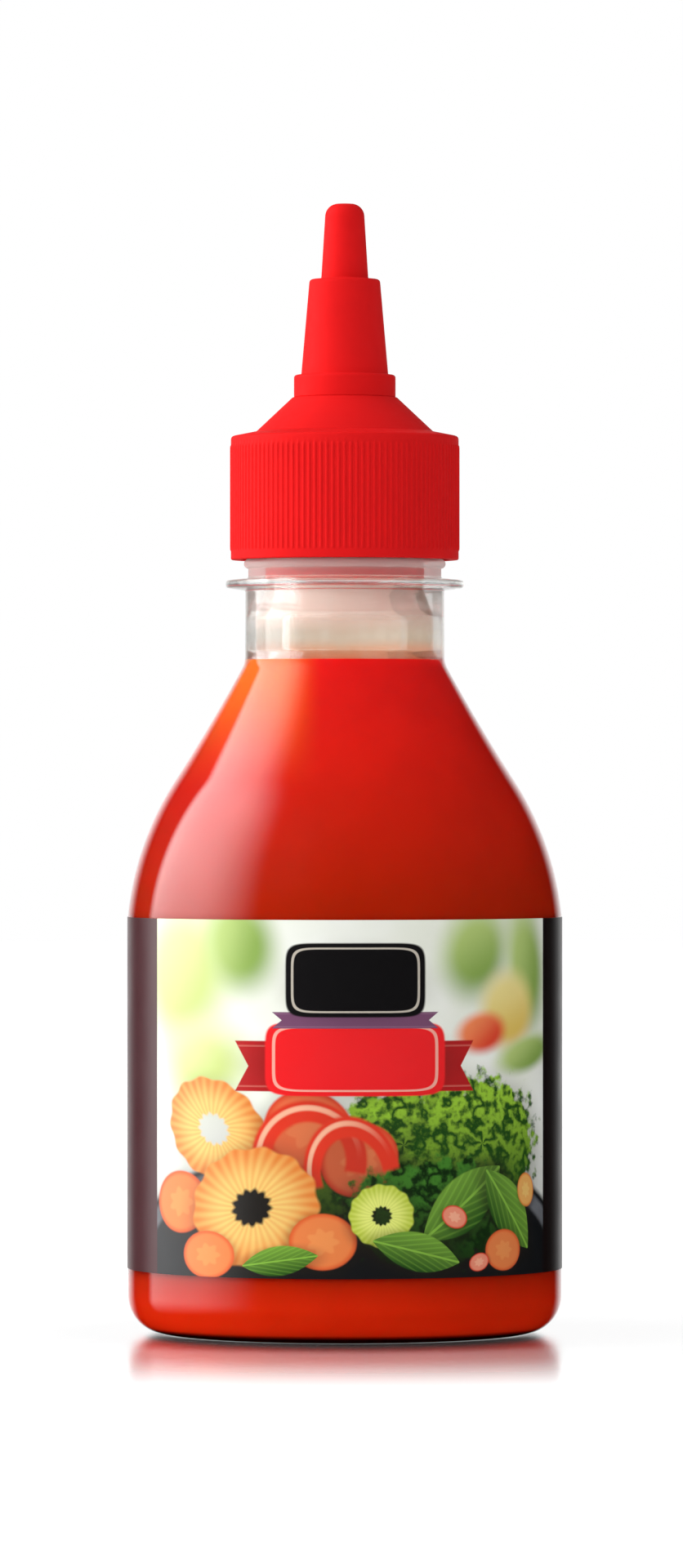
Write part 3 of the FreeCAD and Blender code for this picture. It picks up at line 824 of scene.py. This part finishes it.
def sauce_material(settings):
    """Thick cloudy sauce: light goes a few millimetres into it. Painted shade makes it darker down in the
    wide body, where the upright wall gets less light than the shoulder; a painted orange glow lights the neck
    on the side that the light comes from; painted light brightens the band under the label, standing in for
    light thrown up from the floor; and painted shade darkens it where the bottle stands."""
    colours, level = settings.colours, settings.sauce.level
    material, shader, place = new_material("sauce")
    x, _, z = place.split()
    cloud = place.noise(95.0, 3.0).ramp(0.3, 0.7, 0.92, 1.0)
    # painted shade: the sauce darkens from the neck down into the wide body, where less light falls on it
    wide = z.ramp(level - 32.4 * MM, level + 0.6 * MM, smooth=False)
    body = wide.mix(colours.sauce_painted_shade, colours.sauce)
    # painted light: an orange glow on the left of the neck, the side that the key light comes from
    painted_glow = z.ramp(level - 18.4 * MM, level - 0.4 * MM) * x.ramp(-3 * MM, -9 * MM)
    base = (painted_glow * 0.85).mix(body, colours.sauce_painted_glow)
    # painted shade: the sauce is dark at the very bottom, where the bottle stands on the floor
    foot = z.ramp(0.8 * MM, 1.4 * MM, 0.1, 1.0)
    # painted light: the band under the label is brighter, standing in for light thrown up from the floor
    band = z.ramp(11 * MM, 4 * MM, 1.0, 1.38) + z.ramp(4 * MM, 1.5 * MM, 0.0, 0.25)
    surface = shader.principled(
        {
            "Base Color": base.vector("SCALE", cloud * (foot * band), "Scale"),
            "Roughness": 0.4,
            "IOR": 1.4,
            "Specular IOR Level": 0.03,
            "Subsurface Weight": 1.0,
            "Subsurface Radius": (1.0, 0.2, 0.1),
            "Subsurface Scale": 3 * MM,
        }
    )
    finished(shader, surface)
    return material


def film_material(settings):
    """The thin film of sauce that tints the wall above the level: reddest near the level, cloudier
    towards the cap."""
    colours, level = settings.colours, settings.sauce.level
    ledge = ledge_foot(settings.bottle) + settings.bottle.ledge_root
    material, shader, place = new_material("sauce_film")
    z = place.split()[2]
    runs = place.vector("MULTIPLY", (1.0, 1.0, 0.3)).noise(300.0, 3.0)
    low = (runs * (2 * MM) + z).ramp(level + 1.6 * MM, level + 4.6 * MM, 1.0, 0.0)
    tint = low.mix(colours.residue, colours.residue_red)
    base = runs.ramp(0.3, 0.7, 0.6, 1.0).mix(colours.residue_thin, tint)
    film = shader.principled({"Base Color": base, "Roughness": 0.1, "IOR": 1.02, "Transmission Weight": 1.0})
    neck = z.ramp(level + 3.6 * MM, level + 7.6 * MM, 0.0, 0.35)
    veil = neck + z.ramp(ledge + 1.0 * MM, ledge + 1.4 * MM, 0.0, 0.45)
    clouded = veil.blend(film, shader.simple("Diffuse", colours.residue_cloud))
    open_way = shader.simple("Transparent", colours.clear)
    finished(shader, shader.light_path()["Is Shadow Ray"].blend(clouded, open_way))
    return material


# ---------------------------------------------------------------- the label's print


MOTIF_INPUTS = ("U", "V", "Centre U", "Centre V", "Half Width", "Half Height", "Turn", "Edge")
MOTIF_OUTPUTS = ("Mask", "Shade", "Shadow")


def motif_group(name, drawing):
    """A printed motif: a group that turns U and V into x and y, which reach 1 at the motif's half
    width and height, and lets drawing(x, y, edge, flat) give its mask and its shade."""
    tree = bpy.data.node_groups.new(name, "ShaderNodeTree")
    for way, names in (("INPUT", MOTIF_INPUTS), ("OUTPUT", MOTIF_OUTPUTS)):
        for socket in names:
            tree.interface.new_socket(socket, in_out=way, socket_type="NodeSocketFloat")
    shader = Shader(tree)
    given = shader.outputs("NodeGroupInput")
    offset = {0: given["U"] - given["Centre U"], 1: given["V"] - given["Centre V"]}
    flat = shader.value("CombineXYZ", offset)
    turned_flat = {"Vector": flat, "Angle": given["Turn"]}
    about = shader.value("VectorRotate", turned_flat, rotation_type="Z_AXIS")
    halves = {0: given["Half Width"], 1: given["Half Height"], 2: 1.0}
    local = about.vector("DIVIDE", shader.value("CombineXYZ", halves))
    x, y, _ = local.split()
    mask, shade = drawing(x, y, given["Edge"], flat)
    shadow = local.vector("ADD", (0.0, 0.12, 0.0)).distance().ramp(1.4, 0.75)
    shader.node("NodeGroupOutput", dict(zip(MOTIF_OUTPUTS, (mask, shade, shadow))))


def inside(distance, edge, limit=1.0):
    """1 where the distance is under the limit, 0 where it is over, with a soft edge."""
    return distance.ramp(limit + edge, limit - edge)


def reach(x, y):
    """The root of x squared plus y squared."""
    return x.shader.value("CombineXYZ", {0: x, 1: y}).distance()


def draw_spot(x, y, edge, flat):
    """An ellipse, lighter towards its upper left."""
    return inside(reach(x, y), edge), (y - x).ramp(-1.2, 1.2)


def draw_frill(x, y, edge, flat):
    """A frilled leaf: an ellipse whose edge waves with a noise, folded into light and dark ridges."""
    wave, twist, _ = flat.noise(0.55, 3.0, "Color").split()
    mask = inside(reach(x, y) + (wave - 0.5) * 1.1, edge)
    fold = (y.arctan2(x) * 5.0 + twist * 16.0).sine() * 0.5 + 0.5
    return mask, fold * y.ramp(-1.0, 1.0, 0.1, 1.0)


def draw_leaf(x, y, edge, flat):
    """A pointed leaf: half width 1 - x squared, with a pale rib and veins that slope to its tip."""
    width = 1.0 - x * x
    across = abs(y)
    mask = inside(across / width.at_least(0.001), edge) * width.ramp(0.0, 0.06)
    vein = abs(((x - across * 1.3) * 9.0).sine()) ** 8.0
    lined = vein * 0.25 + (y * 0.35 + 0.38)
    return mask, lined.at_least(across.ramp(0.09, 0.03))


def draw_slice(x, y, edge, flat):
    """A ring of fruit: fibres run out from its core, and its rim is notched and deeper in colour."""
    angle = y.arctan2(x)
    out = reach(x, y) + (angle * 13.0).cosine() * 0.025
    mask = inside(out, edge) * out.ramp(0.26, 0.34)
    fibre = (angle * 34.0 + out * 5.0).sine()
    shade = fibre * 0.15 + out.ramp(1.0, 0.45, 0.15, 0.85)
    return mask, shade.ramp(0.0, 1.0, smooth=False)


def draw_coin(x, y, edge, flat):
    """A cut round of root: a deep rim, a lighter flesh and a star-shaped heart."""
    out = reach(x, y)
    star = (y.arctan2(x) * 7.0).cosine() * 0.07 + 0.42
    heart = (out - star).ramp(0.06, -0.06, 0.0, 0.3)
    return inside(out, edge), out.ramp(1.0, 0.8, 0.0, 0.55) + heart


def draw_strip(x, y, edge, flat):
    """A curved strip of pepper: the upper half of a ring, with a gloss line along it."""
    out = reach(x, y)
    band = inside(abs(out - 0.82), edge, 0.18)
    gloss = abs(out - 0.88).ramp(0.07, 0.02)
    return band * y.ramp(-0.12, -0.02), gloss * (y - x).ramp(-0.8, 1.2)


def draw_panel(x, y, edge, flat):
    """A plaque with rounded corners: a superellipse, with a fine line inside its edge."""
    powers = abs(x) ** 9.0 + abs(y) ** 6.0
    return inside(powers, edge * 5.0), abs(powers - 0.4).ramp(0.09, 0.05)


def draw_ribbon(x, y, edge, flat):
    """A ribbon with notched ends: narrower by the nearness to its middle line, with two edge lines."""
    across = abs(y)
    along = inside(abs(x) / (across * 0.12 + 0.88), 0.006)
    return along * inside(across, edge), abs(across - 0.8).ramp(0.045, 0.025)


def draw_bowl(x, y, edge, flat):
    """A dark bowl: an ellipse that is lighter along its upper rim."""
    out = reach(x, y)
    return inside(out, edge), abs(out - 0.93).ramp(0.05, 0.02) * y.ramp(0.0, 0.6)


MOTIFS = {
    "spot": draw_spot,
    "frill": draw_frill,
    "leaf": draw_leaf,
    "slice": draw_slice,
    "coin": draw_coin,
    "strip": draw_strip,
    "panel": draw_panel,
    "ribbon": draw_ribbon,
    "bowl": draw_bowl,
}

# The print's inks, as a dark and a light tone of each.
INKS = {
    "haze": ((0.90, 0.93, 0.82), (0.95, 0.97, 0.92)),
    "garden": ((0.24, 0.40, 0.07), (0.50, 0.66, 0.20)),
    "meadow": ((0.55, 0.68, 0.20), (0.75, 0.83, 0.35)),
    "sun": ((0.80, 0.55, 0.10), (0.92, 0.78, 0.30)),
    "tomato": ((0.80, 0.05, 0.015), (0.98, 0.26, 0.09)),
    "salad": ((0.012, 0.075, 0.006), (0.36, 0.66, 0.035)),
    "herb": ((0.006, 0.030, 0.004), (0.06, 0.25, 0.02)),
    "basil": ((0.010, 0.075, 0.006), (0.24, 0.50, 0.05)),
    "pineapple": ((0.80, 0.22, 0.03), (0.90, 0.60, 0.17)),
    "carrot": ((0.78, 0.11, 0.02), (0.92, 0.33, 0.09)),
    "pepper": ((0.80, 0.035, 0.01), (1.0, 0.50, 0.32)),
    "lime": ((0.50, 0.62, 0.04), (0.85, 0.92, 0.22)),
    "bowl": ((0.010, 0.011, 0.013), (0.16, 0.17, 0.19)),
    "plaque": ((0.008, 0.007, 0.008), (0.55, 0.50, 0.42)),
    "plum": ((0.20, 0.075, 0.16), (0.33, 0.17, 0.27)),
    "ribbon": ((0.93, 0.006, 0.010), (0.95, 0.42, 0.34)),
    "ribbon back": ((0.50, 0.004, 0.006), (0.62, 0.10, 0.08)),
}

# Motif, ink, centre (across from the front, up from the label's foot), half sizes, turn, soft edge and
# how dark its shadow is. Lengths are in millimetres along the film.
PICTURE = (
    ("spot", "meadow", -25, 41, 8, 9, 10, 0.5, 0),
    ("spot", "garden", -15, 45, 5, 6, -20, 0.5, 0),
    ("spot", "meadow", -21, 29, 7, 5, 0, 0.6, 0),
    ("spot", "garden", 19, 44, 5, 6, 25, 0.5, 0),
    ("spot", "garden", 29, 42, 4, 8, -10, 0.5, 0),
    ("spot", "sun", 25, 36, 5, 5, 30, 0.4, 0),
    ("spot", "tomato", 20, 33, 4, 2.6, -8, 0.35, 0),
    ("spot", "garden", 29, 30, 6, 2.2, -12, 0.4, 0),
    ("bowl", "bowl", 1.5, -4, 42, 22, 0, 0.02, 0.5),
    ("frill", "salad", 8, 18, 10, 8, 0, 0.1, 0.3),
    ("frill", "salad", 20, 18, 11, 9, 0, 0.1, 0.5),
    ("slice", "pineapple", -19, 20, 8.5, 6.5, 25, 0.03, 0.3),
    ("frill", "salad", -4, 15, 7, 7, 0, 0.1, 0.4),
    ("coin", "tomato", -5, 20, 6.2, 5.4, 15, 0.04, 0.4),
    ("coin", "tomato", 2, 16, 5.4, 4.8, -30, 0.04, 0.5),
    ("frill", "herb", 13, 9, 13, 7, 0, 0.1, 0.6),
    ("strip", "pepper", -5, 16, 8, 8, 10, 0.04, 0.2),
    ("strip", "pepper", 1, 14, 6.5, 8, -14, 0.04, 0.2),
    ("coin", "carrot", -25, 10, 5, 4.2, 0, 0.04, 0.5),
    ("slice", "pineapple", -13, 9.5, 9.5, 8, -12, 0.03, 0.6),
    ("leaf", "basil", 17, 10, 8, 3.6, -38, 0.05, 0.5),
    ("leaf", "basil", 25, 9, 7, 3.2, 52, 0.05, 0.5),
    ("coin", "carrot", -3, 5, 4.6, 3.8, 0, 0.04, 0.6),
    ("slice", "lime", 5, 8.5, 4.4, 4.2, 0, 0.04, 0.6),
    ("coin", "pepper", 15.5, 8.2, 2.0, 1.5, 20, 0.06, 0.5),
    ("coin", "carrot", 24, 3.5, 3.4, 2.8, 0, 0.04, 0.5),
    ("coin", "pineapple", 28.8, 11.5, 1.9, 2.3, -10, 0.06, 0.5),
    ("coin", "pepper", 19.5, 2.0, 1.7, 1.2, -15, 0.06, 0.5),
    ("leaf", "basil", 10, 3.6, 6.5, 2.6, 14, 0.05, 0.5),
    ("coin", "carrot", -20, 3, 4.4, 3.2, 0, 0.04, 0.5),
    ("leaf", "basil", -9, 2.4, 5.5, 2.0, -8, 0.05, 0.4),
    ("ribbon", "ribbon back", 1.5, 28.6, 17, 3.4, 0, 0.03, 0),
    ("panel", "ribbon", 1.5, 29.6, 12.5, 5.0, 0, 0.03, 0.35),
    ("ribbon", "plum", 1.5, 34.8, 11.5, 1.1, 0, 0.06, 0),
    ("panel", "plaque", 1.5, 40.2, 9.6, 5.0, 0, 0.03, 0.2),
)


def label_material(settings):
    """Printed film: a dark back and sides, and a front panel with a picture of fruit and greens. U runs
    round the film from the front and V up from its foot, both in millimetres."""
    size, colours = settings.label, settings.colours
    for motif, drawing in MOTIFS.items():
        motif_group(f"print_{motif}", drawing)
    material, shader, place = new_material("label_film")
    x, y, z = place.split()
    radius = size.radius / MM
    u = x.arctan2(y * -1.0) * radius
    v = z * (1 / MM) - size.bottom / MM
    picture = place.noise(60.0).ramp(0.35, 0.65).mix(*INKS["haze"])
    for motif, ink, centre_u, centre_v, width, height, angle, edge, shadow in PICTURE:
        given = (u, v, centre_u, centre_v, width, height, np.radians(angle), edge)
        group = bpy.data.node_groups[f"print_{motif}"]
        drawn = shader.outputs("Group", dict(zip(MOTIF_INPUTS, given)), node_tree=group)
        if shadow:
            picture = (drawn["Shadow"] * shadow).mix(picture, colours.print_shade)
        picture = drawn["Mask"].mix(picture, drawn["Shade"].mix(*INKS[ink]))
    left, right = np.radians((size.panel_left, size.panel_right)) * radius
    soft = 0.1
    front = u.ramp(left - soft, left + soft) * u.ramp(right + soft, right - soft)
    # the left side is warmer, from under the front to short of the lap at the back
    warm = u.ramp(10.0, -10.0) * u.ramp(-92.0, -60.0)
    side = warm.mix(colours.side, colours.side_warm)
    ripple = place.vector("MULTIPLY", (1.0, 1.0, 0.3)).noise(55.0)
    surface = shader.principled(
        {
            "Base Color": front.mix(side, picture),
            "Roughness": place.noise(180.0).ramp(0.3, 0.7, 0.29, 0.32),
            "IOR": 1.5,
            "Normal": ripple.bump(0.04, 0.5 * MM),
        }
    )
    finished(shader, surface)
    return material


# ---------------------------------------------------------------- the studio


def seen_straight(path):
    """1 for rays from the camera and for those that come through the clear bottle."""
    return path["Is Camera Ray"].at_least(path["Is Transmission Ray"])


def make_camera(size):
    data = bpy.data.cameras.new("studio_camera")
    data.lens = data.sensor_width * size.distance / size.frame
    data.clip_start, data.clip_end = 0.05, 50.0
    camera = bpy.data.objects.new("studio_camera", data)
    camera.location = (-size.aside, -size.distance, size.eye)
    camera.rotation_euler = (np.pi / 2, 0, 0)
    bpy.context.collection.objects.link(camera)
    bpy.context.scene.camera = camera


def make_floor(size):
    """A white floor with a painted shadow under the bottle, whose polish shows in grazing views close
    to the bottle and fades away from it."""
    mesh = bpy.data.meshes.new("floor")
    corners = [(sx * size.floor, sy * size.floor, 0) for sx, sy in ((-1, -1), (1, -1), (1, 1), (-1, 1))]
    mesh.from_pydata(corners, [], [(0, 1, 2, 3)])
    floor = bpy.data.objects.new("floor", mesh)
    floor.visible_glossy = False
    bpy.context.collection.objects.link(floor)
    material, shader, place = new_material("floor")
    seen = seen_straight(shader.light_path())
    away = place.distance()
    lit = 0.78
    # painted shadow: the floor's glow drops to nothing under the bottle's foot
    painted_contact_shadow = away.ramp(23.5 * MM, 26.5 * MM, lit, 0.0)
    matt = shader.principled(
        {
            "Base Color": seen.mix((0.8, 0.8, 0.8), (0.5, 0.5, 0.5)),
            "Roughness": 1.0,
            "Specular IOR Level": 0.0,
            "Emission Color": WHITE,
            "Emission Strength": seen * (lit - painted_contact_shadow),
        }
    )
    polish = shader.value("BsdfAnisotropic", {"Color": WHITE, "Roughness": 0.16})
    grazing = shader.value("LayerWeight", {"Blend": 0.5}, "Facing").ramp(0.70, 0.92)
    close = away.ramp(36 * MM, 50 * MM, 0.1, 0.0) + away.ramp(50 * MM, 138 * MM, 0.88, 0.0)
    finished(shader, (grazing * close).blend(matt, polish))
    mesh.materials.append(material)
    return floor


def make_lamps(size):
    """A tall soft box on the left with soft sides and ends, and two lamps that reflections don't show:
    a fill in front and a weak one on the right."""
    key = lamp("key", size.key_turn, distance=0.9, height=0.65, width=1.75, tall=2.5, radiance=size.key)
    shader = emptied(key.data)
    across, up, _ = shader.value("NewGeometry", output="Parametric").split()
    sides = across.ramp(0.0, 0.12) * across.ramp(0.92, 0.45)
    ends = up.ramp(0.05, 0.45) * up.ramp(0.95, 0.55)
    finished(shader, shader.value("Emission", {"Strength": sides * ends}), "Light")
    square = {"distance": 1.3, "width": 0.9, "tall": 0.9}
    fill = lamp("fill", -40.0, height=0.95, radiance=size.fill, tilt=35.0, **square)
    card = lamp("card", 75.0, height=0.55, radiance=size.card, tilt=20.0, **square)
    fill.visible_glossy = card.visible_glossy = False


def make_backdrops(floor):
    """White boards in front and at both sides that only the floor's polish shows."""
    mirrors = bpy.data.collections.new("mirrors")
    mirrors.objects.link(floor)
    for azimuth in (-90.0, 0.0, 90.0):
        board = lamp("board", azimuth, distance=3.0, height=1.0, width=6.0, tall=2.2, radiance=1.0)
        board.visible_camera = board.visible_diffuse = board.visible_transmission = False
        board.light_linking.receiver_collection = mirrors


def lamp(name, azimuth, distance, height, width, tall, radiance, tilt=0.0):
    """A rectangle that faces the bottle from an azimuth counted from the front, of the radiance given."""
    data = bpy.data.lights.new(name, "AREA")
    data.shape = "RECTANGLE"
    data.size, data.size_y = width, tall
    data.energy = radiance * np.pi * width * tall
    made = bpy.data.objects.new(name, data)
    turn = np.radians(azimuth)
    made.location = (distance * np.sin(turn), -distance * np.cos(turn), height)
    made.rotation_euler = (np.pi / 2 - np.radians(tilt), 0, turn)
    bpy.context.collection.objects.link(made)
    return made


def make_surroundings(size):
    """White where it is seen straight or through the bottle and behind it, dark in front of it for
    reflections, and an even grey for the light that falls on things."""
    bpy.context.scene.world = bpy.data.worlds.new("studio")
    shader = emptied(bpy.context.scene.world)
    path = shader.light_path()
    seen = seen_straight(path)
    glossy = path["Is Glossy Ray"]
    _, back, up = shader.value("TexCoord", output="Generated").split()
    mirrored = glossy * (back.ramp(0.85, 0.98) * up.ramp(-0.25, -0.08))
    strength = seen.at_least(mirrored) + (1.0 - seen.at_least(glossy)) * size.ambient
    background = shader.value("Background", {"Color": WHITE, "Strength": strength})
    finished(shader, background, "World")


class SAUCE_BOTTLE_OT_studio(Operator):
    """Makes the camera, the pale floor, the lamps and the white surroundings"""

    bl_idname = "sauce_bottle.make_studio"
    bl_label = "Make the Studio"

    def execute(self, context):
        size = context.scene.sauce_bottle.stage
        make_camera(size)
        floor = make_floor(size)
        make_lamps(size)
        make_backdrops(floor)
        make_surroundings(size)
        context.scene.view_settings.view_transform = "Standard"
        return {"FINISHED"}


class SAUCE_BOTTLE_PT_panel(Panel):
    """Lists the operators that make the bottle"""

    bl_idname = "SAUCE_BOTTLE_PT_panel"
    bl_label = "Sauce Bottle"
    bl_space_type = "VIEW_3D"
    bl_region_type = "UI"
    bl_category = "Sauce Bottle"

    def draw(self, context):
        for operator in OPERATORS:
            self.layout.operator(operator.bl_idname)


OPERATORS = (
    SAUCE_BOTTLE_OT_bottle,
    SAUCE_BOTTLE_OT_sauce,
    SAUCE_BOTTLE_OT_label,
    SAUCE_BOTTLE_OT_cap,
    SAUCE_BOTTLE_OT_nozzle,
    SAUCE_BOTTLE_OT_studio,
)
CLASSES = (
    BottleSizes,
    SauceSizes,
    LabelSizes,
    CapSizes,
    NozzleSizes,
    Colours,
    StageSizes,
    SauceBottleSettings,
    *OPERATORS,
    SAUCE_BOTTLE_PT_panel,
)


def register():
    for made in CLASSES:
        bpy.utils.register_class(made)
    bpy.types.Scene.sauce_bottle = PointerProperty(type=SauceBottleSettings)


def unregister():
    del bpy.types.Scene.sauce_bottle
    for made in reversed(CLASSES):
        bpy.utils.unregister_class(made)


def main():
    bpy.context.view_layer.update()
    register()
    for operator in OPERATORS:
        getattr(bpy.ops.sauce_bottle, operator.bl_idname.split(".")[1])()


if __name__ == "__main__":
    main()
